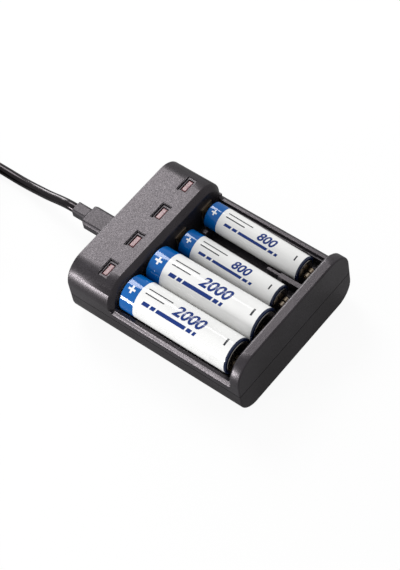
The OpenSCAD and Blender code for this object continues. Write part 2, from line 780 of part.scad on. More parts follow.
module swept_cord(p) {
    n = cord_sides;
    last = (len(p) - 1) * n;
    points = [for (i = [0:len(p) - 1]) each ring(p, i)];
    skin = [for (i = [0:len(p) - 2]) for (k = [0:n - 1])
        [i * n + k, i * n + (k + 1) % n, (i + 1) * n + (k + 1) % n, (i + 1) * n + k]];
    ends = [[for (k = [n - 1:-1:0]) k], [for (k = [0:n - 1]) last + k]];
    polyhedron(points, concat(skin, ends));
}

module cord_lead() {
    color("#1b1b1d") swept_cord(lead_points);
}

module cord_tail() {
    color("#1b1b1d") swept_cord(tail_points);
}

module cord_coil() {
    edge = 1.6;
    color("#1b1b1d") translate([coil_x, coil_y, 0]) rotate_extrude() polygon(concat(
        arc(coil_in_r + edge, edge, edge, 180, 270, 4), arc(coil_out_r - edge, edge, edge, 270, 360, 4),
        arc(coil_out_r - edge, coil_h - edge, edge, 0, 90, 4),
        arc(coil_in_r + edge, coil_h - edge, edge, 90, 180, 4)
    ));
}

// Wire tie wrapped round the turns of the coil
module coil_tie() {
    tie_t = 0.5;
    tie_w = 4;
    gap = 0.25;
    mid = (coil_in_r + coil_out_r) / 2;
    color("#2c2c30") translate([coil_x, coil_y, 0]) rotate([0, 0, 200]) translate([mid, 0, 0]) difference() {
        box([coil_in_r - mid - tie_t - gap, -tie_w / 2, 0],
            [coil_out_r - mid + tie_t + gap, tie_w / 2, coil_h + tie_t + gap]);
        box([coil_in_r - mid - gap, -tie_w, -over], [coil_out_r - mid + gap, tie_w, coil_h + gap]);
    }
}

module usb_a_relief() {
    color("#222124") translate([usb_x, 0, usb_z])
        grip(relief_w, relief_t, usb_grip_y, usb_relief_y, relief_chamfer, touch);
}

module usb_a_grip() {
    color("#222124") translate([usb_x, 0, usb_z])
        grip(usb_grip_w, usb_grip_t, usb_shell_y, usb_grip_y, usb_chamfer, usb_chamfer);
}

module usb_a_shell() {
    hole_w = 2.5;
    hole_l = 2;
    hole_x = 2.6;
    hole_in = 5.2;
    color("#c9cbce") translate([usb_x, 0, 0]) difference() {
        box_tube(usb_a_w, usb_a_t, shell_t, usb_z, usb_shell_y - usb_a_l, usb_shell_y);
        for (side = [-1, 1]) translate([side * hole_x, usb_shell_y - usb_a_l + hole_in, 0])
            box([-hole_w / 2, 0, 0], [hole_w / 2, hole_l, 2 * usb_z]);
    }
}

module usb_a_tongue() {
    tongue_t = 1.9;
    in_w = usb_a_w / 2 - shell_t;
    high = usb_z + usb_a_t / 2 - shell_t;
    color("#d9d9dc") translate([usb_x, 0, 0])
        box([-in_w, usb_shell_y - usb_a_l + 0.6, high - tongue_t], [in_w, usb_shell_y, high]);
}

upper_shell();
lower_shell();
feet();
circuit_board();
charge_controller();
charge_switches();
input_capacitor();
micro_usb_socket();
socket_tongue();
for (i = [0:bays - 1]) {
    lamp(i);
    positive_contact(i);
    contact_base(i);
}
for (i = aa_bays) contact_leaf(i, aa_end_y);
for (i = aaa_bays) contact_leaf(i, aaa_end_y);
lamp_legs();
case_screws();
for (i = aa_bays) aa_cell(i);
for (i = aaa_bays) aaa_cell(i);
plug_shell();
plug_grip();
plug_relief();
cord_lead();
cord_coil();
coil_tie();
cord_tail();
usb_a_relief();
usb_a_grip();
usb_a_shell();
usb_a_tongue();
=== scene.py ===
"""Four-bay USB charger with two AA and two AAA cells, dressed for a studio picture.

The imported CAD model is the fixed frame. Lengths are written in millimetres and turned to metres
where a mesh or a light takes them.
"""

from __future__ import annotations

import json
import logging
import math
from dataclasses import dataclass
from enum import Enum
from typing import Any, Sequence

import bmesh
import bpy
from mathutils import Matrix, Vector

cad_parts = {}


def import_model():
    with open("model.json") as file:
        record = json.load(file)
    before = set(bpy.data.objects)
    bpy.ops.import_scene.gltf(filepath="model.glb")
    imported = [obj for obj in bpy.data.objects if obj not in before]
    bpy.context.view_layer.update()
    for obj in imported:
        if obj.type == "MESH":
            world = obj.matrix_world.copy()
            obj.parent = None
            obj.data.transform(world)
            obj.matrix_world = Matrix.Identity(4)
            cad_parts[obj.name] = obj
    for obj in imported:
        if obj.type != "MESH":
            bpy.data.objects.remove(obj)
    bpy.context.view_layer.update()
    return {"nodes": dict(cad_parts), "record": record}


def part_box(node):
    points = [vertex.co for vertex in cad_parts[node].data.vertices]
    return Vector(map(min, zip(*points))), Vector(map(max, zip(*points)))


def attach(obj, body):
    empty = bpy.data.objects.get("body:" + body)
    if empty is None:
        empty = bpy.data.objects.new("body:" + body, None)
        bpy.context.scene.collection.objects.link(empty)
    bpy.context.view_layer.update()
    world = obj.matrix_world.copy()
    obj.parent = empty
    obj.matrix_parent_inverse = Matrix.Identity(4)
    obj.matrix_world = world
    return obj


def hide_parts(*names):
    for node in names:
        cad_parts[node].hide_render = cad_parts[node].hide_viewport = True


LOG = logging.getLogger("charger")
MM = 0.001
ROOT_BODY = "charger"
# Faces whose normal lies along an axis to within this share are shaded flat
SQUARE = 0.99999
# Points nearer than this are one point: in a copy of a CAD node, and in a new mesh
WELD_MM = 0.002
CLOSE_MM = 0.001
# Faces that turn by less than this are one flat face
FLAT_DEG = 0.4
# Edges that turn by more than this get a rounding, where the edges beside them leave this much room
CORNER_DEG = 28.0
ROOM_SHARE = 2.2
# Ends of the noise's range that take a colour, and a roughness, from one end to the other
COLOUR_SPAN = (0.7, 1.3)
ROUGH_SPAN = (0.3, 0.7)
Point = tuple[float, float, float]


def linear(code: str) -> tuple[float, float, float, float]:
    """Turn an sRGB hex value into a linear colour.

    Args:
        code: Six hex digits after a hash sign.

    Returns:
        Red, green, blue and an alpha of one.
    """
    parts = [int(code[i:i + 2], 16) / 255 for i in (1, 3, 5)]
    tone = [p / 12.92 if p <= 0.04045 else ((p + 0.055) / 1.055) ** 2.4 for p in parts]
    return (tone[0], tone[1], tone[2], 1.0)


def add_node(tree: bpy.types.NodeTree, kind: str, inputs: dict[str | int, Any] | None = None,
             **settings: Any) -> bpy.types.Node:
    """Add one shader node with its settings and links.

    Args:
        tree: The node tree that takes the node.
        kind: Blender's type name of the node.
        inputs: Value, or output socket to link, for each named or numbered input.
        **settings: Attributes of the node.

    Returns:
        The new node.
    """
    made = tree.nodes.new(kind)
    for key, value in settings.items():
        setattr(made, key, value)
    for key, value in (inputs or {}).items():
        if isinstance(value, bpy.types.NodeSocket):
            tree.links.new(value, made.inputs[key])
        else:
            made.inputs[key].default_value = value
    return made


@dataclass(frozen=True)
class Finish:
    """A real material and how its surface was made.

    Attributes:
        name: Common name of the material and its making.
        colour: Main colour, sRGB hex.
        shade: Second colour that the grain swings to, sRGB hex.
        roughness: Roughness of the smooth parts.
        rough_swing: How much the grain adds to the roughness.
        grain_mm: Size of a grain along X, Y and Z.
        depth_mm: Depth of the grain, for the bump.
        cloud_mm: Size of the slow cloud that shifts the colour.
        metallic: One for a metal.
        ior: Index of refraction of a non-metal.
        glow: Weight of light scattered under the surface.
        detail: Octaves of the grain.
        sheen: Colour of the reflections of a non-metal, sRGB hex.
    """

    name: str
    colour: str
    shade: str
    roughness: float
    rough_swing: float = 0.1
    grain_mm: Point = (0.5, 0.5, 0.5)
    depth_mm: float = 0.02
    cloud_mm: float = 12.0
    metallic: float = 0.0
    ior: float = 1.5
    glow: float = 0.0
    detail: float = 3.0
    sheen: str = "#ffffff"

    def material(self) -> bpy.types.Material:
        """Build the node material once, and hand out the same one later.

        Returns:
            The material named for the finish.
        """
        found = bpy.data.materials.get(self.name)
        if found is not None:
            return found
        made = bpy.data.materials.new(self.name)
        made.use_nodes = True
        tree = made.node_tree
        tree.nodes.clear()
        place = add_node(tree, "ShaderNodeTexCoord").outputs["Object"]
        scaled = add_node(tree, "ShaderNodeMapping", {
            "Vector": place, "Scale": [1 / (g * MM) for g in self.grain_mm]})
        grain = add_node(tree, "ShaderNodeTexNoise", {
            "Vector": scaled.outputs["Vector"], "Scale": 1.0, "Detail": self.detail})
        cloud = add_node(tree, "ShaderNodeTexNoise", {
            "Vector": place, "Scale": 1 / (self.cloud_mm * MM), "Detail": 2.0})
        both = add_node(tree, "ShaderNodeMath", {
            0: grain.outputs["Fac"], 1: cloud.outputs["Fac"]}, operation="ADD")
        spread = add_node(tree, "ShaderNodeMapRange", {
            "Value": both.outputs[0], "From Min": COLOUR_SPAN[0], "From Max": COLOUR_SPAN[1]})
        ramp = add_node(tree, "ShaderNodeValToRGB", {"Fac": spread.outputs["Result"]})
        ramp.color_ramp.elements[0].color = linear(self.colour)
        ramp.color_ramp.elements[1].color = linear(self.shade)
        rough = add_node(tree, "ShaderNodeMapRange", {
            "Value": grain.outputs["Fac"], "From Min": ROUGH_SPAN[0], "From Max": ROUGH_SPAN[1],
            "To Min": self.roughness, "To Max": min(1.0, self.roughness + self.rough_swing)})
        bump = add_node(tree, "ShaderNodeBump", {
            "Height": grain.outputs["Fac"], "Strength": 1.0, "Distance": self.depth_mm * MM})
        shader = add_node(tree, "ShaderNodeBsdfPrincipled", {
            "Base Color": ramp.outputs["Color"], "Roughness": rough.outputs["Result"],
            "Metallic": self.metallic, "IOR": self.ior, "Specular Tint": linear(self.sheen),
            "Subsurface Weight": self.glow, "Subsurface Scale": MM, "Normal": bump.outputs["Normal"]})
        add_node(tree, "ShaderNodeOutputMaterial", {"Surface": shader.outputs["BSDF"]})
        return made


class Stuff(Enum):
    """The materials of this charger, each with what it gives the eye."""

    # ABS moulded in a spark-eroded tool: a fine even pebble that breaks up every reflection.
    # The real pebble is about 0.15 mm; it is drawn at 0.36 mm so that it shows.
    UPPER_ABS = Finish("ABS_spark_eroded_upper", "#151315", "#2d2b2f", 0.24, 0.22, (0.36, 0.36, 0.36), 0.026,
                       ior=1.54, sheen="#fff4fb")
    # The lower shell takes a darker copy of the same ABS: painted shade for its sides, which face away from
    # the lamps.
    LOWER_ABS_SHADED = Finish("ABS_spark_eroded_lower_painted_shade", "#131113", "#232124", 0.25, 0.2, (0.36, 0.36, 0.36), 0.022,
                       ior=1.54, sheen="#fff4fb")
    # PVC shrink sleeve, gravure printed: a glossy film with slow ripples from the shrinking.
    WHITE_SLEEVE = Finish("PVC_shrink_sleeve_white", "#ebebea", "#e4e4e3", 0.1, 0.05, (4, 9, 4), 0.012)
    BLUE_SLEEVE = Finish("PVC_shrink_sleeve_blue", "#005ca6", "#005399", 0.08, 0.05, (4, 9, 4), 0.012)
    NAVY_SLEEVE = Finish("PVC_shrink_sleeve_navy", "#14213f", "#101a33", 0.1, 0.05, (4, 9, 4), 0.012)
    # Ink on the sleeve: flatter than the film round it.
    BLUE_INK = Finish("gravure_ink_blue", "#06307c", "#05296c", 0.14, 0.06, (0.3, 0.3, 0.3), 0.004)
    GREY_INK = Finish("gravure_ink_grey", "#2b2d33", "#34363c", 0.14, 0.06, (0.3, 0.3, 0.3), 0.004)
    WHITE_INK = Finish("gravure_ink_white", "#ececec", "#e4e4e4", 0.3, 0.1, (0.3, 0.3, 0.3), 0.004)
    # Nickel plate on a drawn steel can: bright, with fine drawing marks that soften reflections.
    CAN_NICKEL = Finish("nickel_plate_drawn", "#b9b4ad", "#a8a29b", 0.18, 0.12, (0.25, 2, 0.25), 0.004,
                        metallic=1.0)
    # Nickel plate on folded steel sheet: smoother, faint cloud.
    SHELL_NICKEL = Finish("nickel_plate_sheet", "#c3c3c5", "#b3b3b6", 0.22, 0.1, (0.3, 3, 0.3), 0.004,
                          metallic=1.0)
    # Phosphor bronze strip, rolled: warm metal with lines along the strip and a little tarnish.
    BRONZE = Finish("phosphor_bronze_rolled", "#dccfbb", "#c2ad8e", 0.3, 0.15, (0.12, 1.5, 1.5), 0.005,
                    metallic=1.0, cloud_mm=3)
    ZINC = Finish("zinc_plate_screw", "#9b9da1", "#85878c", 0.3, 0.15, (0.3, 0.3, 0.3), 0.006, metallic=1.0)
    # PVC overmould: dull black skin with a fine pebble like the case.
    GRIP_PVC = Finish("PVC_overmould", "#1f1e21", "#29282b", 0.36, 0.16, (0.5, 0.5, 0.5), 0.035,
                      ior=1.53, sheen="#fff4fb")
    # PVC jacket, extruded: glossy black with faint ripples along it.
    JACKET_PVC = Finish("PVC_jacket_extruded", "#0c0b0c", "#111012", 0.18, 0.05, (2, 6, 2), 0.003,
                        ior=1.53, sheen="#c2b6bc")
    # Epoxy lamp body with milky diffuser: pink red, light goes a little way in.
    LAMP_EPOXY = Finish("epoxy_diffused_red", "#7f4d52", "#a0787c", 0.25, 0.1, (1.4, 0.8, 0.8), 0.01,
                        ior=1.54, glow=0.2, cloud_mm=2.5)
    MASK_GREEN = Finish("solder_mask_green", "#1d5a2f", "#17492a", 0.25, 0.15, (0.6, 0.6, 0.6), 0.01)
    CHIP_EPOXY = Finish("epoxy_moulding_compound", "#1b1b1d", "#242426", 0.55, 0.2, (0.3, 0.3, 0.3), 0.01)
    SLEEVE_BLUE_GREY = Finish("PET_sleeve_capacitor", "#2a3148", "#232a3f", 0.2, 0.1, (2, 2, 2), 0.01)
    TONGUE_BLACK = Finish("LCP_tongue_black", "#131314", "#1b1b1d", 0.4, 0.1, (0.5, 0.5, 0.5), 0.008)
    TONGUE_WHITE = Finish("PBT_tongue_white", "#dcdcdd", "#d2d2d4", 0.35, 0.1, (0.5, 0.5, 0.5), 0.008)
    # Nitrile rubber foot: dead matt.
    RUBBER = Finish("nitrile_rubber", "#171718", "#1f1f20", 0.75, 0.15, (0.4, 0.4, 0.4), 0.02)
    TIE_PE = Finish("PE_coated_tie", "#1d1d1f", "#262629", 0.4, 0.15, (0.5, 2, 0.5), 0.01)
    COLLAR_PP = Finish("PP_collar", "#c9c9ca", "#bdbdbf", 0.4, 0.1, (0.6, 0.6, 0.6), 0.008)

    def material(self) -> bpy.types.Material:
        """The material of this choice."""
        return self.value.material()


# Finish of each slot of the record, for the CAD nodes that stay as they are
SLOT_STUFF: dict[str, Stuff] = {
    "shell_upper": Stuff.UPPER_ABS, "shell_lower": Stuff.LOWER_ABS_SHADED, "rubber": Stuff.RUBBER,
    "board": Stuff.MASK_GREEN, "chip": Stuff.CHIP_EPOXY, "capacitor_sleeve": Stuff.SLEEVE_BLUE_GREY,
    "plated_shell": Stuff.SHELL_NICKEL, "tongue": Stuff.TONGUE_BLACK, "lamp": Stuff.LAMP_EPOXY,
    "contact_strip": Stuff.BRONZE, "screw_steel": Stuff.ZINC, "cell_sleeve": Stuff.WHITE_SLEEVE,
    "plug_grip": Stuff.GRIP_PVC, "cord": Stuff.JACKET_PVC, "tie": Stuff.TIE_PE,
    "usb_tongue": Stuff.TONGUE_WHITE,
}


def add_piece(name: str, bm: bmesh.types.BMesh, stuffs: Sequence[Stuff], slot: str,
              body: str = ROOT_BODY, sharp_deg: float = 30.0) -> bpy.types.Object:
    """Turn a bmesh into a piece that rides on a body.

    Args:
        name: Name of the piece.
        bm: The mesh, in metres in the shared frame; it is freed.
        stuffs: Finishes for the material slots, in order.
        slot: Material slot of the record; not used.
        body: CAD body that carries the piece.
        sharp_deg: Edges that turn by more than this stay sharp.

    Returns:
        The new object, at the origin.
    """
    mesh = bpy.data.meshes.new(name)
    bm.to_mesh(mesh)
    bm.free()
    for stuff in stuffs:
        mesh.materials.append(stuff.material())
    mesh.set_sharp_from_angle(angle=math.radians(sharp_deg))
    for face in mesh.polygons:
        face.use_smooth = max(abs(c) for c in face.normal) < SQUARE
    piece = bpy.data.objects.new(name, mesh)
    bpy.context.scene.collection.objects.link(piece)
    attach(piece, body)
    LOG.info("%s: %d faces on %s", name, len(mesh.polygons), body)
    return piece


def merged_copy(node: bpy.types.Object) -> bmesh.types.BMesh:
    """Copy a CAD node's loose triangles into one closed mesh of flat faces.

    Args:
        node: The CAD node's object, which stays as it is.

    Returns:
        The copy, merged and dissolved.
    """
    bm = bmesh.new()
    bm.from_mesh(node.data)
    bmesh.ops.remove_doubles(bm, verts=bm.verts, dist=WELD_MM * MM)
    bmesh.ops.dissolve_limit(bm, angle_limit=math.radians(FLAT_DEG), verts=bm.verts, edges=bm.edges)
    return bm


def soften(bm: bmesh.types.BMesh, width_mm: float, segments: int = 2, low_mm: float = -1.0,
           hollows_mm: Sequence[tuple[Point, Point]] = ()) -> None:
    """Round the sharp outer edges of a mesh.

    Args:
        bm: The mesh to change.
        width_mm: Width of the rounding.
        segments: Steps of the rounding.
        low_mm: Edges that reach below this height stay sharp.
        hollows_mm: Low and high corner of each space whose edges stay sharp.
    """
    corner = math.radians(CORNER_DEG)
    room = ROOM_SHARE * width_mm * MM
    chosen: list[bmesh.types.BMEdge] = []
    for edge in bm.edges:
        if not edge.is_manifold or not edge.is_convex or edge.calc_face_angle(0.0) < corner:
            continue
        middle = (edge.verts[0].co + edge.verts[1].co) / (2 * MM)
        inside = any(all(low < place < high for low, place, high in zip(lows, middle, highs))
                     for lows, highs in hollows_mm)
        if inside or min(v.co.z for v in edge.verts) < low_mm * MM:
            continue
        if min(near.calc_length() for v in edge.verts for near in v.link_edges) > room:
            chosen.append(edge)
    bmesh.ops.bevel(bm, geom=chosen, offset=width_mm * MM, segments=segments, profile=0.5,
                    affect="EDGES", material=-1, clamp_overlap=False)


def arc(radius: float, middle: tuple[float, float], start_deg: float, stop_deg: float,
        steps: int = 5) -> list[tuple[float, float]]:
    """Points of an arc in a profile.

    Args:
        radius: Radius of the arc.
        middle: Its middle, as radius and place along the axis.
        start_deg: Angle of the first point.
        stop_deg: Angle of the last point.
        steps: Steps between them.

    Returns:
        The points.
    """
    turns = [math.radians(start_deg + (stop_deg - start_deg) * k / steps) for k in range(steps + 1)]
    return [(middle[0] + radius * math.cos(t), middle[1] + radius * math.sin(t)) for t in turns]


def turned(profile_mm: Sequence[tuple[float, float]], ring: bool, steps: int = 96) -> bmesh.types.BMesh:
    """Spin a profile about the Y axis.

    Args:
        profile_mm: Radius and place along Y of each point.
        ring: Whether the last point joins the first; else both lie on the axis.
        steps: Steps round the axis.

    Returns:
        The closed mesh, in metres.
    """
    bm = bmesh.new()
    points = [bm.verts.new((r * MM, y * MM, 0.0)) for r, y in profile_mm]
    following = points[1:] + points[:1] if ring else points[1:]
    lines = [bm.edges.new(pair) for pair in zip(points, following)]
    bmesh.ops.spin(bm, geom=points + lines, cent=(0, 0, 0), axis=(0, 1, 0), angle=2 * math.pi,
                   steps=steps, use_merge=True)
    bmesh.ops.remove_doubles(bm, verts=bm.verts, dist=CLOSE_MM * MM)
    bmesh.ops.recalc_face_normals(bm, faces=bm.faces)
    return bm


@dataclass(frozen=True)
class Viewpoint:
    """The photograph's camera, fitted to the case edges and the cells' standard sizes."""

    azimuth_deg: float = -41.562
    elevation_deg: float = 54.591
    roll_deg: float = -11.827
    distance_mm: float = 734.396
    slide_mm: tuple[float, float] = (-4.807, 6.044)
    lift_mm: float = 0.5
    focal_px: float = 2002.64
    picture_h_px: float = 570.0
    sensor_mm: float = 36.0
    near_mm: float = 50.0

    def place(self) -> bpy.types.Object:
        """Make the camera and set it as the scene's own.

        Returns:
            The camera object.
        """
        a, e, r = (math.radians(v) for v in (self.azimuth_deg, self.elevation_deg, self.roll_deg))
        back = Vector((math.sin(a) * math.cos(e), -math.cos(a) * math.cos(e), math.sin(e)))
        level = Vector((math.cos(a), math.sin(a), 0.0))
        rise = back.cross(level)
        right = level * math.cos(r) + rise * math.sin(r)
        up = rise * math.cos(r) - level * math.sin(r)
        spot = back * self.distance_mm + right * self.slide_mm[0] + up * self.slide_mm[1]
        spot.z += self.lift_mm
        data = bpy.data.cameras.new("photo_camera")
        data.sensor_width = self.sensor_mm
        data.lens = self.focal_px * self.sensor_mm / self.picture_h_px
        data.clip_start = self.near_mm * MM
        camera = bpy.data.objects.new("photo_camera", data)
        turn = Matrix((right, up, back)).transposed().to_4x4()
        camera.matrix_world = Matrix.Translation(spot * MM) @ turn
        bpy.context.scene.collection.objects.link(camera)
        bpy.context.scene.camera = camera
        return camera


@dataclass(frozen=True)
class Softbox:
    """One large soft lamp that looks at the middle of the charger."""

    name: str
    azimuth_deg: float
    elevation_deg: float
    distance_mm: float
    width_mm: float
    height_mm: float
    radiance: float

    def place(self) -> bpy.types.Object:
        """Make the lamp.

        Returns:
            The lamp object.
        """
        a, e = math.radians(self.azimuth_deg), math.radians(self.elevation_deg)
        away = Vector((math.cos(a) * math.cos(e), math.sin(a) * math.cos(e), math.sin(e)))
        data = bpy.data.lights.new(self.name, "AREA")
        data.shape = "RECTANGLE"
        data.size = self.width_mm * MM
        data.size_y = self.height_mm * MM
        data.energy = self.radiance * math.pi * data.size * data.size_y
        lamp = bpy.data.objects.new(self.name, data)
        lamp.location = away * self.distance_mm * MM
        lamp.rotation_euler = away.to_track_quat("Z", "Y").to_euler()
        bpy.context.scene.collection.objects.link(lamp)
        return lamp


@dataclass(frozen=True)
class Studio:
    """White sweep with soft lamps at a plain level."""

    floor_size_mm: float = 6000.0
    floor_colour: str = "#f4f4f4"
    bounce_colour: str = "#8a8a8a"
    floor_keep: float = 0.92
    floor_mirrored: float = 0.1
    room_mirrored: float = 0.5
    ambient: float = 0.66
    boxes: tuple[Softbox, ...] = (
        Softbox("key_back_right", 58.0, 47.0, 880, 320, 320, 10.5),
        Softbox("left_sheet", 152.0, 5.5, 900, 260, 240, 40.0),
        Softbox("back_strip", 66.0, 14.0, 900, 420, 200, 14.0),
    )

    def build(self) -> None:
        """Make the floor, the world and the lamps."""
        bm = bmesh.new()
        bmesh.ops.create_grid(bm, x_segments=1, y_segments=1, size=self.floor_size_mm * MM / 2)
        mesh = bpy.data.meshes.new("floor")
        bm.to_mesh(mesh)
        bm.free()
        mesh.materials.append(self._floor_material())
        floor = bpy.data.objects.new("floor", mesh)
        bpy.context.scene.collection.objects.link(floor)
        self._world()
        for box in self.boxes:
            box.place()

    def _seen(self, tree: bpy.types.NodeTree, straight: float, mirrored: float,
              other: float = 0.0) -> bpy.types.NodeSocket:
        """Say how much of the plain white sweep each kind of ray sees.

        Args:
            tree: Node tree of the floor or the world.
            straight: White on camera rays.
            mirrored: White on glossy and transmission rays.
            other: White on the rays that light the object.

        Returns:
            A socket with that value.
        """
        path = add_node(tree, "ShaderNodeLightPath")
        direct = add_node(tree, "ShaderNodeMath", {
            0: path.outputs["Is Camera Ray"], 1: straight - other, 2: other}, operation="MULTIPLY_ADD")
        bent = add_node(tree, "ShaderNodeMath", {
            0: path.outputs["Is Glossy Ray"], 1: path.outputs["Is Transmission Ray"]}, operation="MAXIMUM")
        share = add_node(tree, "ShaderNodeMath", {
            0: bent.outputs[0], 1: mirrored - other, 2: direct.outputs[0]}, operation="MULTIPLY_ADD")
        return share.outputs[0]

    def _floor_material(self) -> bpy.types.Material:
        """Matt white paper that reads as white and keeps a soft shadow.

        Returns:
            The floor's material.
        """
        made = bpy.data.materials.new("paper_sweep")
        made.use_nodes = True
        tree = made.node_tree
        tree.nodes.clear()
        sight = add_node(tree, "ShaderNodeLightPath")
        tone = add_node(tree, "ShaderNodeMixRGB", {
            "Fac": sight.outputs["Is Camera Ray"], "Color1": linear(self.bounce_colour),
            "Color2": linear(self.floor_colour)})
        paper = add_node(tree, "ShaderNodeBsdfDiffuse", {"Color": tone.outputs["Color"]})
        white = add_node(tree, "ShaderNodeEmission", {"Color": (1, 1, 1, 1), "Strength": 1.0})
        share = self._seen(tree, self.floor_keep, self.floor_mirrored)
        mixed = add_node(tree, "ShaderNodeMixShader", {0: share, 1: paper.outputs[0], 2: white.outputs[0]})
        add_node(tree, "ShaderNodeOutputMaterial", {"Surface": mixed.outputs[0]})
        return made

    def _world(self) -> None:
        """White surroundings to look at, and a weaker even light from all sides."""
        world = bpy.data.worlds.new("white_room")
        world.use_nodes = True
        tree = world.node_tree
        tree.nodes.clear()
        level = self._seen(tree, 1.0, self.room_mirrored, self.ambient)
        white = add_node(tree, "ShaderNodeBackground", {"Color": (1, 1, 1, 1), "Strength": level})
        add_node(tree, "ShaderNodeOutputWorld", {"Surface": white.outputs[0]})
        bpy.context.scene.world = world


@dataclass(frozen=True)
class ChargingCord:
    """USB lead: from the micro plug to a coil behind the charger, and on to its far plug."""

    diameter_mm: float = 3.9
    length_mm: float = 660.0
    lead_mm: tuple[Point, ...] = (
        (0, 65.025, 8.9), (0, 68.025, 8.9), (0.3, 73.1, 7.6), (0.5, 80, 5.7), (0.9, 86, 4.1),
        (1.2, 91.5, 2.9), (1.4, 97, 2.2), (1.5, 104, 2.04), (1.5, 113, 2.01))
    tail_mm: tuple[Point, ...] = (
        (-29, 150.95, 5.7), (-36, 151.05, 4.0), (-43, 149.6, 2.6), (-49.5, 146.2, 2.1), (-55, 141.4, 2.7),
        (-58.3, 136.4, 3.6), (-59, 133, 3.9), (-59, 131, 3.9))
    coil_mm: tuple[float, float] = (-23.3, 126.0)
    outer_mm: float = 24.9
    inner_mm: float = 16.95
    low_mm: float = 2.02
    high_mm: float = 5.96
    turns: int = 2
    points_per_turn: int = 16
    steps: int = 6
    ring_steps: int = 6

    def _coil(self) -> list[Point]:
        """Points of the two layers of the coil.

        Returns:
            Points from where the lead comes in to where the tail goes off.
        """
        n = self.points_per_turn
        layer = n * self.turns
        found: list[Point] = []
        for k in range(2 * layer + n // 4 + 1):
            angle = 2 * math.pi * k / n
            if k <= layer:
                share, height = k / layer, self.low_mm
            elif k <= layer + n // 4:
                share = 1.0
                climb = (k - layer) / (n // 4)
                height = self.low_mm + (self.high_mm - self.low_mm) * (3 - 2 * climb) * climb ** 2
            else:
                share, height = (2 * layer + n // 4 - k) / layer, self.high_mm
            radius = self.outer_mm + (self.inner_mm - self.outer_mm) * share
            found.append((self.coil_mm[0] + radius * math.cos(angle),
                          self.coil_mm[1] + radius * math.sin(angle), height))
        return found

    def build(self) -> bpy.types.Object:
        """Make the cord as one smooth curve.

        Returns:
            The curve object.
        """
        route = [*self.lead_mm, *self._coil(), *self.tail_mm]
        curve = bpy.data.curves.new("charging_cord", "CURVE")
        curve.dimensions = "3D"
        curve.resolution_u = self.steps
        curve.bevel_depth = self.diameter_mm / 2 * MM
        curve.bevel_resolution = self.ring_steps
        curve.use_fill_caps = True
        spline = curve.splines.new("BEZIER")
        spline.bezier_points.add(len(route) - 1)
        for knot, spot in zip(spline.bezier_points, route):
            knot.co = Vector(spot) * MM
            knot.handle_left_type = "AUTO"
            knot.handle_right_type = "AUTO"
        curve.materials.append(Stuff.JACKET_PVC.material())
        cord = bpy.data.objects.new("charging_cord", curve)
        bpy.context.scene.collection.objects.link(cord)
        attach(cord, ROOT_BODY)
        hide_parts("cord_lead", "cord_coil", "cord_tail")
        return cord

    def declare(self, ends: Sequence[bpy.types.Object]) -> None:
        """Work out where the cord's route starts, and nothing more.

        Args:
            ends: The plugs, reliefs and tie that go with it; not used.
        """
        start = [c * MM for c in self.lead_mm[0]]


@dataclass(frozen=True)
class Softened:
    """A rigid CAD node shown with the small roundings that moulding or pressing leaves."""

    node: str
    stuff: Stuff
    slot: str
    width_mm: float
    segments: int = 2
    low_mm: float = -1.0
    hollows_mm: tuple[tuple[Point, Point], ...] = ()
    fine_mm: float = 0.0
    body: str = ROOT_BODY

    def build(self, nodes: dict[str, bpy.types.Object]) -> bpy.types.Object:
        """Make the softened piece in place of its node.

        Args:
            nodes: The CAD nodes by name.

        Returns:
            The new piece.
        """
        bm = merged_copy(nodes[self.node])
        soften(bm, self.width_mm, self.segments, self.low_mm, self.hollows_mm)
        if self.fine_mm:
            soften(bm, self.fine_mm, self.segments, self.low_mm, self.hollows_mm)
        piece = add_piece(f"{self.node}_softened", bm, [self.stuff], self.slot, self.body)
        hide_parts(self.node)
        return piece


@dataclass(frozen=True)
class Case:
    """Upper and lower shell, moulded, with roundings on the edges that show."""

    wall_mm: float = 1.8
    head_mm: float = 21.2
    bays_mm: float = 14.4
    round_mm: float = 0.25
    fine_round_mm: float = 0.1
    spare_mm: float = 0.02
    window_mm: float = 3.0
    steps: int = 3

    def build(self, nodes: dict[str, bpy.types.Object]) -> None:
        """Make both shells.

        Args:
            nodes: The CAD nodes by name.
        """
        low, high = (Vector(corner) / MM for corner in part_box("upper_shell"))
        inner = self.wall_mm - self.spare_mm
        head = ((low.x + inner, high.y - self.head_mm + inner, 0.0),
                (high.x - inner, high.y - inner, high.z - inner))
        lamps = [Vector(corner) / MM for k in (1, 4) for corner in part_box(f"lamp_{k}")]
        windows = ((lamps[0].x - self.window_mm, lamps[0].y - self.window_mm, high.z - inner),
                   (lamps[-1].x + self.window_mm, lamps[-1].y + self.window_mm, high.z + inner))
        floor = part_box("lower_shell")[0][2] / MM
        tray = ((low.x + inner, low.y + inner, floor + inner), (high.x - inner, high.y - inner, high.z))
        Softened("upper_shell", Stuff.UPPER_ABS, "shell_upper", self.round_mm, self.steps, self.bays_mm,
                 hollows_mm=(head, windows), fine_mm=self.fine_round_mm).build(nodes)
        Softened("lower_shell", Stuff.LOWER_ABS_SHADED, "shell_lower", self.round_mm, self.steps,
                 hollows_mm=(tray,), fine_mm=self.fine_round_mm).build(nodes)


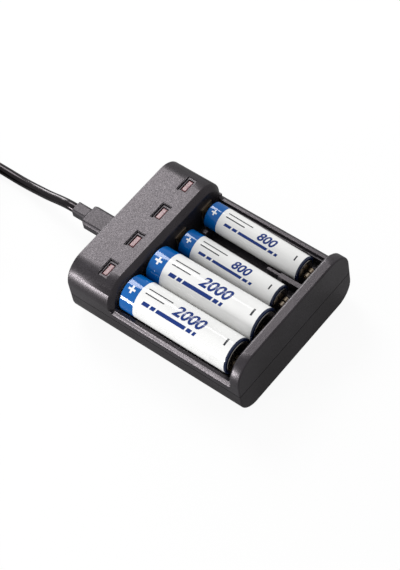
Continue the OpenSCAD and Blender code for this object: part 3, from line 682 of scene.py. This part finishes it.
@dataclass(frozen=True)
class DividerNoses:
    """Thin round-nosed ends of the dividers, which run on past the rib under the cells."""

    middles_mm: tuple[float, ...] = (-15.0, 0.0, 15.0)
    along_mm: tuple[float, float] = (-21.5, -15.4)
    height_mm: tuple[float, float] = (11.6, 16.83)
    thick_mm: float = 1.2
    nose_mm: float = 0.5
    nose_steps: int = 6
    edge_mm: float = 0.15
    edge_steps: int = 3
    rim_deg: float = 60.0

    def build(self) -> bpy.types.Object:
        """Make the noses, which stand on the floor of the tray.

        Returns:
            The new piece.
        """
        bm = bmesh.new()
        back, front = self.along_mm
        low, high = self.height_mm
        for middle in self.middles_mm:
            spot = Matrix.Translation(Vector((middle, (back + front) / 2, (low + high) / 2)) * MM)
            size = Matrix.Diagonal((self.thick_mm * MM, (front - back) * MM, (high - low) * MM, 1.0))
            bmesh.ops.create_cube(bm, size=1.0, matrix=spot @ size)
        tips = [edge for edge in bm.edges
                if all(v.co.y > (back + front) / 2 * MM for v in edge.verts)
                and abs(edge.verts[0].co.z - edge.verts[1].co.z) > self.edge_mm * MM]
        bmesh.ops.bevel(bm, geom=tips, offset=self.nose_mm * MM, segments=self.nose_steps, profile=0.5,
                        affect="EDGES", material=-1)
        rims = [edge for edge in bm.edges
                if all(v.co.z > (low + high) / 2 * MM for v in edge.verts)
                and edge.calc_face_angle(0.0) > math.radians(self.rim_deg)]
        bmesh.ops.bevel(bm, geom=rims, offset=self.edge_mm * MM, segments=self.edge_steps, profile=0.5,
                        affect="EDGES", material=-1)
        return add_piece("divider_noses", bm, [Stuff.UPPER_ABS], "shell_upper")


class SleevePrint:
    """Flat artwork for a sleeve: u runs towards the negative end, v runs round the cell."""

    INKS: tuple[Stuff, ...] = (Stuff.BLUE_INK, Stuff.GREY_INK, Stuff.WHITE_INK)
    PROUD_MM: float = 0.015
    DEEP_MM: float = 0.02
    STEP_MM: float = 0.5
    CUT_MM: float = 0.0001
    FIGURE_SLANT: float = 0.25
    FIGURE_WEIGHT: float = 0.03
    FIGURE_STEPS: int = 3

    def __init__(self) -> None:
        """Start with a bare sleeve."""
        self.flat = bmesh.new()

    def _ink(self, known: int, ink: Stuff, matrix: Matrix) -> None:
        """Place and colour the faces that were added last.

        Args:
            known: How many faces there were before.
            ink: Ink of the new faces.
            matrix: Where the new faces go.
        """
        self.flat.faces.ensure_lookup_table()
        fresh = self.flat.faces[known:]
        for face in fresh:
            face.material_index = self.INKS.index(ink)
        corners = list({v for face in fresh for v in face.verts})
        bmesh.ops.transform(self.flat, matrix=matrix, verts=corners)

    def block(self, u: float, v: float, length: float, height: float, ink: Stuff,
              slant: float = 0.0) -> None:
        """Add a block with slanted ends.

        Args:
            u: Its middle along the cell.
            v: Its middle round the cell.
            length: Length along the cell.
            height: Height round the cell.
            ink: Ink of the block.
            slant: How far its ends lean, as a share of its height.
        """
        known = len(self.flat.faces)
        bmesh.ops.create_grid(self.flat, x_segments=1, y_segments=1, size=0.5)
        lean = Matrix.Identity(4)
        lean[0][1] = slant * height
        lean[0][0] = length
        lean[1][1] = height
        self._ink(known, ink, Matrix.Scale(MM, 4) @ Matrix.Translation((u, v, 0.0)) @ lean)

    def digits(self, words: str, u: float, v: float, height: float, ink: Stuff) -> None:
        """Add a plain number in slanted figures.

        Args:
            words: The number.
            u: Its start along the cell.
            v: Its foot line round the cell.
            height: Size of the type.
            ink: Ink of the figures.
        """
        curve = bpy.data.curves.new("figures", "FONT")
        curve.body = words
        curve.shear = self.FIGURE_SLANT
        curve.offset = self.FIGURE_WEIGHT
        curve.resolution_u = self.FIGURE_STEPS
        holder = bpy.data.objects.new("figures", curve)
        mesh = bpy.data.meshes.new_from_object(holder)
        known = len(self.flat.faces)
        self.flat.from_mesh(mesh)
        bpy.data.objects.remove(holder)
        bpy.data.curves.remove(curve)
        bpy.data.meshes.remove(mesh)
        place = Matrix.Scale(MM, 4) @ Matrix.Translation((u, v, 0.0))
        self._ink(known, ink, place @ Matrix.Scale(height, 4))

    def wrapped(self, radius_mm: float, start_mm: float) -> bmesh.types.BMesh:
        """Wrap the artwork round a sleeve along Y.

        Args:
            radius_mm: Radius of the sleeve.
            start_mm: Place along Y where u is nought.

        Returns:
            The ink as thin closed films, just proud of the sleeve.
        """
        bm = self.flat
        bmesh.ops.remove_doubles(bm, verts=bm.verts, dist=CLOSE_MM * MM)
        reach = math.ceil(math.pi * radius_mm / self.STEP_MM)
        for k in range(-reach, reach + 1):
            bmesh.ops.bisect_plane(bm, geom=[*bm.verts, *bm.edges, *bm.faces], dist=self.CUT_MM * MM,
                                   plane_co=(0, k * self.STEP_MM * MM, 0), plane_no=(0, 1, 0))
        under = bmesh.ops.extrude_face_region(bm, geom=list(bm.faces), use_keep_orig=True)
        lowered = [item for item in under["geom"] if isinstance(item, bmesh.types.BMVert)]
        bmesh.ops.translate(bm, vec=(0, 0, -(self.PROUD_MM + self.DEEP_MM) * MM), verts=lowered)
        bmesh.ops.recalc_face_normals(bm, faces=bm.faces)
        for vert in bm.verts:
            along, turn = vert.co.x, vert.co.y / (radius_mm * MM)
            height = (radius_mm + self.PROUD_MM) * MM + vert.co.z
            vert.co = (height * math.sin(turn), start_mm * MM - along, height * math.cos(turn))
        return bm


@dataclass(frozen=True)
class CellKind:
    """Sizes of one kind of cell and of its label.

    Attributes:
        radius_mm: Radius over the sleeve.
        length_mm: Length over the button.
        button_mm: Radius of the button.
        end_mm: Y and Z of the middle of the negative end.
        lift_mm: How far the positive end lies above the other end.
        band_mm: Length of the coloured band at the positive end.
        number: The number on the label.
        type_mm: Size of the number's type.
        number_mm: Start of the number along the label, and its foot line round the cell.
        stripe_mm: Height of the stripe of blocks, and its place round the cell.
        lines_mm: Length, start and place round the cell of each thin line of the label.
    """

    radius_mm: float
    length_mm: float
    button_mm: float
    end_mm: tuple[float, float]
    lift_mm: float
    band_mm: float
    number: str
    type_mm: float
    number_mm: tuple[float, float]
    stripe_mm: tuple[float, float]
    lines_mm: tuple[Point, ...]


AA = CellKind(7.15, 50.2, 2.75, (-32.275, 20.35), 0.0, 6.4, "2000", 6.4, (15.0, -2.2), (1.5, -4.3),
              ((11.0, 2.0, 1.5), (8.5, 2.0, -0.7)))
AAA = CellKind(5.2, 44.5, 1.9, (-27.175, 15.35), 1.9, 5.6, "800", 5.0, (16.5, -1.9), (1.1, -3.4),
               ((11.0, 2.0, 1.2), (8.5, 2.0, -0.6)))


@dataclass(frozen=True)
class Cell:
    """One rechargeable cell: printed sleeve, nickel can end, collar and button.

    Attributes:
        node: CAD node of the cell.
        kind: Its sizes and label.
        button_h_mm: Height of the button.
        fold_mm: Radius of the sleeve's fold over an end.
        film_mm: Thickness of the sleeve.
        rim_mm: Length of the dark rim past the fold.
        set_back_mm: How far the sleeve starts from the bare end.
        collar_mm: How far the collar lies below the fold.
        gap_mm: Gap between the ends and the sleeve.
        edge_mm: Radius of the edges of the ends.
        dish_share: Radius of the dish in the bare end, as a share of the end's.
        dish_mm: Depth of that dish.
        deep_mm: How far the ends reach into the sleeve.
        tip_mm: Radius of the button's edge.
        step_mm: Depth of the step round the button's foot.
        skim_mm: Depth below the collar that counts as its face.
        blocks_mm: Lengths of the blocks of the stripe.
        blocks_start_mm: Start of the stripe along the label.
        blocks_gap_mm: Gap between its blocks.
        blocks_slant: Lean of their ends, as a share of their height.
        line_mm: Height of the thin lines.
        sign_share: Size of the signs, as a share of the radius.
        stroke_share: Width of their strokes, as a share of that size.
        arm_share: Length of each upright arm, and its middle, as shares of that size.
        plus_share: Place of the plus sign round the cell, as a share of the radius.
        minus_share: The same of the minus sign.
        minus_mm: Distance of the minus sign from the end of the body's label.
        sharp_deg: Edges that turn by more than this stay sharp.
    """

    node: str
    kind: CellKind
    button_h_mm: float = 1.3
    fold_mm: float = 0.5
    film_mm: float = 0.15
    rim_mm: float = 0.45
    set_back_mm: float = 0.2
    collar_mm: float = 0.35
    gap_mm: float = 0.02
    edge_mm: float = 0.3
    dish_share: float = 0.55
    dish_mm: float = 0.1
    deep_mm: float = 1.0
    tip_mm: float = 0.4
    step_mm: float = 0.1
    skim_mm: float = 0.05
    blocks_mm: tuple[float, ...] = (3.0, 2.0, 13.0, 2.0, 1.2)
    blocks_start_mm: float = 3.0
    blocks_gap_mm: float = 0.7
    blocks_slant: float = 0.35
    line_mm: float = 0.45
    sign_share: float = 0.42
    stroke_share: float = 0.26
    arm_share: tuple[float, float] = (0.37, 0.316)
    plus_share: float = -0.3
    minus_share: float = -0.1
    minus_mm: float = 4.0
    sharp_deg: float = 40.0

    @property
    def body_mm(self) -> float:
        """Length of the cell without its button."""
        return self.kind.length_mm - self.button_h_mm

    def _place(self) -> Matrix:
        """Where the cell lies.

        Returns:
            The move from a cell along Y with its negative end at the origin.
        """
        low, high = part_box(self.node)
        spot = Vector(((low[0] + high[0]) / 2, self.kind.end_mm[0] * MM, self.kind.end_mm[1] * MM))
        tilt = math.asin(self.kind.lift_mm / self.kind.length_mm)
        return Matrix.Translation(spot) @ Matrix.Rotation(tilt, 4, "X")

    def _sleeve(self) -> bmesh.types.BMesh:
        """Shrunk film, folded over both ends of the can, coloured by its bands.

        Returns:
            The mesh, in its own place.
        """
        r, e, t = self.kind.radius_mm, self.fold_mm, self.film_mm
        low, top = self.set_back_mm, self.body_mm
        lip = r - 2 * e
        band = top - self.kind.band_mm
        outer = [(lip, low), *arc(e, (r - e, low + e), -90, 0), (r, low + e + self.rim_mm), (r, band),
                 *arc(e, (r - e, top - e), 0, 90), (lip, top)]
        inner = [(lip, top - t), *arc(e, (r - e - t, top - e - t), 90, 0),
                 *arc(e, (r - e - t, low + e + t), 0, -90), (lip, low + t)]
        bm = turned([*outer, *inner], ring=True)
        for face in bm.faces:
            along = face.calc_center_median().y / MM
            face.material_index = 2 if along < low + e + self.rim_mm else 1 if along > band else 0
        return bm

    def _ends(self) -> bmesh.types.BMesh:
        """Bare can end with its shallow dish, and the cap with its collar and button.

        Returns:
            The mesh, in its own place.
        """
        r, e = self.kind.radius_mm - 2 * self.fold_mm - self.gap_mm, self.edge_mm
        dish, deep = self.dish_share * r, self.deep_mm
        end = turned([(0, self.dish_mm), (dish, self.dish_mm), (dish + e, 0), *arc(e, (r - e, e), -90, 0),
                      (r, deep), (0, deep)], ring=False)
        button, tip, round_mm = self.kind.button_mm, self.kind.length_mm, self.tip_mm
        sunk, foot = self.body_mm - self.collar_mm, button + 2 * e
        cap = turned([(0, tip), *arc(round_mm, (button - round_mm, tip - round_mm), 90, 0),
                      (button, sunk + e), *arc(e, (button + e, sunk + e), 180, 270),
                      (foot, sunk - self.step_mm), (foot, sunk), (r, sunk), (r, sunk - deep),
                      (0, sunk - deep)], ring=False)
        for face in cap.faces:
            middle = face.calc_center_median()
            away = math.hypot(middle.x, middle.z) / MM
            face.material_index = 1 if away > foot and middle.y / MM > sunk - self.skim_mm else 0
        spare = bpy.data.meshes.new("cap")
        cap.to_mesh(spare)
        cap.free()
        end.from_mesh(spare)
        bpy.data.meshes.remove(spare)
        return end

    def _print(self) -> bmesh.types.BMesh:
        """Plain generic label: a number, thin lines, a stripe of blocks and the two signs.

        Returns:
            The mesh, in its own place.
        """
        kind, art = self.kind, SleevePrint()
        height, stripe = kind.stripe_mm
        spot = self.blocks_start_mm
        for length in self.blocks_mm:
            art.block(spot + length / 2, stripe, length, height, Stuff.BLUE_INK, self.blocks_slant)
            spot += length + self.blocks_gap_mm
        for length, start, place in kind.lines_mm:
            art.block(start + length / 2, place, length, self.line_mm, Stuff.GREY_INK)
        art.digits(kind.number, kind.number_mm[0], kind.number_mm[1], kind.type_mm, Stuff.BLUE_INK)
        size = self.sign_share * kind.radius_mm
        stroke = self.stroke_share * size
        arm, out = (share * size for share in self.arm_share)
        along, side = -kind.band_mm / 2, self.plus_share * kind.radius_mm
        art.block(along, side, size, stroke, Stuff.WHITE_INK)
        for sign in (-1, 1):
            art.block(along, side + sign * out, stroke, arm, Stuff.WHITE_INK)
        after = self.body_mm - kind.band_mm
        art.block(after - self.minus_mm, self.minus_share * kind.radius_mm, stroke, size, Stuff.GREY_INK)
        return art.wrapped(kind.radius_mm, after)

    def build(self) -> None:
        """Make the cell's three pieces in place of its CAD node."""
        place = self._place()
        sleeve_stuff = (Stuff.WHITE_SLEEVE, Stuff.BLUE_SLEEVE, Stuff.NAVY_SLEEVE)
        for label, bm, stuffs in (("sleeve", self._sleeve(), sleeve_stuff),
                                  ("ends", self._ends(), (Stuff.CAN_NICKEL, Stuff.COLLAR_PP)),
                                  ("print", self._print(), SleevePrint.INKS)):
            bmesh.ops.transform(bm, matrix=place, verts=bm.verts)
            piece = add_piece(f"{self.node}_{label}", bm, stuffs, "cell_sleeve", sharp_deg=self.sharp_deg)
            if label == "sleeve":
                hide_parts(self.node)


@dataclass(frozen=True)
class Lamps:
    """Rectangular epoxy lamps with rounded faces, in the windows of the head."""

    count: int = 4
    face_round_mm: float = 0.3
    face_mm: float = 26.0
    steps: int = 3

    def build(self, nodes: dict[str, bpy.types.Object]) -> None:
        """Make the lamps in place of their nodes.

        Args:
            nodes: The CAD nodes by name.
        """
        for k in range(1, self.count + 1):
            Softened(f"lamp_{k}", Stuff.LAMP_EPOXY, "lamp", self.face_round_mm, self.steps,
                     self.face_mm).build(nodes)


@dataclass(frozen=True)
class CordFittings:
    """Moulded grips, reliefs, far plug and tie that go with the cord."""

    grip_round_mm: float = 0.3
    relief_round_mm: float = 0.25
    far_grip_round_mm: float = 0.5
    shell_round_mm: float = 0.1
    tie_round_mm: float = 0.15
    steps: int = 3

    def build(self, nodes: dict[str, bpy.types.Object]) -> list[bpy.types.Object]:
        """Make the fittings.

        Args:
            nodes: The CAD nodes by name.

        Returns:
            The pieces that are on the cord.
        """
        wanted = (
            Softened("plug_grip", Stuff.GRIP_PVC, "plug_grip", self.grip_round_mm, self.steps),
            Softened("plug_relief", Stuff.GRIP_PVC, "plug_grip", self.relief_round_mm, self.steps),
            Softened("usb_a_relief", Stuff.GRIP_PVC, "plug_grip", self.relief_round_mm, self.steps),
            Softened("usb_a_grip", Stuff.GRIP_PVC, "plug_grip", self.far_grip_round_mm, self.steps),
            Softened("usb_a_shell", Stuff.SHELL_NICKEL, "plated_shell", self.shell_round_mm),
            Softened("coil_tie", Stuff.TIE_PE, "tie", self.tie_round_mm),
        )
        return [*(fitting.build(nodes) for fitting in wanted), nodes["usb_a_tongue"], nodes["plug_shell"]]


def dress_nodes(nodes: dict[str, bpy.types.Object], record: dict[str, Any]) -> None:
    """Give each CAD node that still shows the finish of its slot.

    Args:
        nodes: The CAD nodes by name.
        record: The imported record.
    """
    for part in record["subparts"]:
        node = nodes[part["node"]]
        node.data.materials.clear()
        node.data.materials.append(SLOT_STUFF[part["material_slot"]].material())


def main() -> None:
    """Build the classes in order and report each piece."""
    logging.basicConfig(level=logging.INFO, format="%(name)s: %(message)s")
    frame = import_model()
    nodes = frame["nodes"]
    bpy.context.scene.view_settings.view_transform = "Standard"
    Viewpoint().place()
    lead = ChargingCord()
    cord = lead.build()
    dress_nodes(nodes, frame["record"])
    Case().build(nodes)
    DividerNoses().build()
    Lamps().build(nodes)
    for name, kind in (("aa_cell_1", AA), ("aa_cell_2", AA), ("aaa_cell_1", AAA), ("aaa_cell_2", AAA)):
        Cell(name, kind).build()
    lead.declare(CordFittings().build(nodes))
    Studio().build()


if __name__ == "__main__":
    main()
